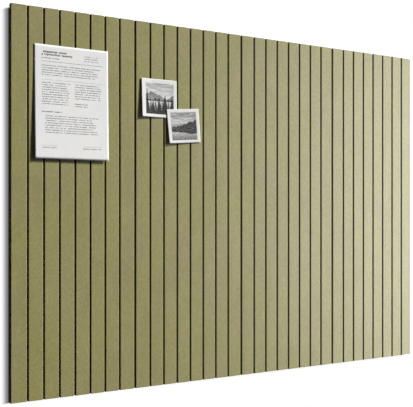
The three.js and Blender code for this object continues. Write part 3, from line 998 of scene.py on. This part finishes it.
def floor_material():
    """A pale floor that fades into the white background some way out, where it is seen directly.

    All other light meets a dark floor, so that little of it is thrown up into the object's shadows.
    """
    tree = material_tree("stage_floor")
    where = tree.coordinates()
    cloud = tree.noise(where, 1.5, detail=3)
    seen = seen_directly(tree)
    colour = tree.mix(seen, FLOOR_BOUNCE, tree.mix(cloud, FLOOR_COLOUR, FLOOR_PALE))
    lit = glowing_paint(tree, colour, tree.product(seen, FLOOR_GLOW))
    away = tree.node("ShaderNodeVectorMath", {0: where}, operation="LENGTH").outputs["Value"]
    far = tree.product(seen, tree.ramp(away, FLOOR_PLAIN, FLOOR_REACH))
    clear = tree.node("ShaderNodeBsdfTransparent").outputs[0]
    surface = tree.node("ShaderNodeMixShader", {0: far, 1: lit, 2: clear}).outputs[0]
    tree.node("ShaderNodeOutputMaterial", {"Surface": surface})
    return tree.owner


floor_z = BOARD_BOTTOM - FLOOR_BELOW_BOARD
half_floor = FLOOR_SIZE / 2
stage_plane(
    "stage_floor",
    [
        (-half_floor, -half_floor, floor_z),
        (half_floor, -half_floor, floor_z),
        (half_floor, half_floor, floor_z),
        (-half_floor, half_floor, floor_z),
    ],
    floor_material(),
)
wall_side = BOARD_HALF_WIDTH + WALL_REACH
stage_plane(
    "stage_wall",
    [
        (-wall_side, WALL_Y, BOARD_BOTTOM - WALL_REACH),
        (wall_side, WALL_Y, BOARD_BOTTOM - WALL_REACH),
        (wall_side, WALL_Y, BOARD_TOP + WALL_REACH),
        (-wall_side, WALL_Y, BOARD_TOP + WALL_REACH),
    ],
    wall_material(),
)


# Lamps: the key lamp's direction, the others' place, target and size, and their strength and colour
KEY_TOWARDS = (1.6, -1.0, 1.2)
KEY_ANGLE = math.radians(15)
KEY_STRENGTH = 5.75
KEY_COLOUR = (1.0, 0.995, 0.985)
REAR_PLACE = (0.0, 2.6, 0.9)
REAR_TARGET = (0.0, 0.0, -0.38)
REAR_SIZE = (2.4, 1.2)
REAR_POWER = 110.0
REAR_COLOUR = (1.0, 1.0, 1.0)
RIGHT_PLACE = (3.2, -2.3, -0.72)
RIGHT_TARGET = (0.70, 0.0, -0.48)
RIGHT_SIZE = (0.74, 3.6)
RIGHT_POWER = 700.0
RIGHT_COLOUR = (1.0, 0.99, 0.87)


def area_lamp(name, place, target, size, power, colour, gloss_only=False):
    """A flat lamp at place that points at target, and that lights matt surfaces unless gloss_only."""
    data = bpy.data.lights.new(name, "AREA")
    data.shape = "RECTANGLE"
    data.size, data.size_y = size
    data.energy = power
    data.color = colour
    lamp = bpy.data.objects.new(name, data)
    bpy.context.scene.collection.objects.link(lamp)
    lamp.visible_diffuse = not gloss_only
    lamp.location = place
    lamp.rotation_euler = (Vector(target) - Vector(place)).to_track_quat("-Z", "Y").to_euler()


def sun_lamp(name, towards_light, width_angle, strength, colour):
    """A far lamp whose light comes from towards_light."""
    data = bpy.data.lights.new(name, "SUN")
    data.angle = width_angle
    data.energy = strength
    data.color = colour
    lamp = bpy.data.objects.new(name, data)
    bpy.context.scene.collection.objects.link(lamp)
    lamp.rotation_euler = Vector(towards_light).to_track_quat("Z", "Y").to_euler()


sun_lamp("key_lamp", KEY_TOWARDS, KEY_ANGLE, KEY_STRENGTH, KEY_COLOUR)
area_lamp("rear_lamp", REAR_PLACE, REAR_TARGET, REAR_SIZE, REAR_POWER, REAR_COLOUR)
# The right lamp only makes gloss, so that the shadows are those of the key lamp alone
area_lamp("right_lamp", RIGHT_PLACE, RIGHT_TARGET, RIGHT_SIZE, RIGHT_POWER, RIGHT_COLOUR, gloss_only=True)

WORLD_LIGHT = 0.01
WORLD_SEEN = 1.0
WORLD_WHITE = (1.0, 1.0, 1.0)


def world_light():
    """Weak even light, with a plain white background for the camera and for reflections."""
    world = bpy.data.worlds.new("world")
    bpy.context.scene.world = world
    tree = NodeTree(world)
    strength = tree.ramp(seen_directly(tree), 0.0, 1.0, WORLD_LIGHT, WORLD_SEEN, smooth=False)
    background = tree.node("ShaderNodeBackground", {"Color": WORLD_WHITE, "Strength": strength})
    tree.node("ShaderNodeOutputWorld", {"Surface": background.outputs[0]})


world_light()


def photo_camera():
    """The photograph's camera: level, turned to the right, with its horizon shifted."""
    data = bpy.data.cameras.new("photo_camera")
    data.sensor_width = SENSOR_WIDTH_MM
    data.lens = FOCAL_LENGTH_PX / IMAGE_WIDTH_PX * SENSOR_WIDTH_MM
    data.shift_y = HORIZON_BELOW_MIDDLE_PX / IMAGE_WIDTH_PX
    data.clip_start, data.clip_end = CAMERA_CLIP
    camera = bpy.data.objects.new("photo_camera", data)
    bpy.context.scene.collection.objects.link(camera)
    offset = Vector((-CAMERA_LEFT_OF_MIDDLE, -CAMERA_FROM_FELT, -CAMERA_BELOW_MIDDLE))
    camera.location = BOARD_MIDDLE + offset
    camera.rotation_euler = (math.pi / 2, 0.0, -CAMERA_TURN)
    bpy.context.scene.camera = camera


photo_camera()
bpy.context.scene.view_settings.view_transform = "Standard"
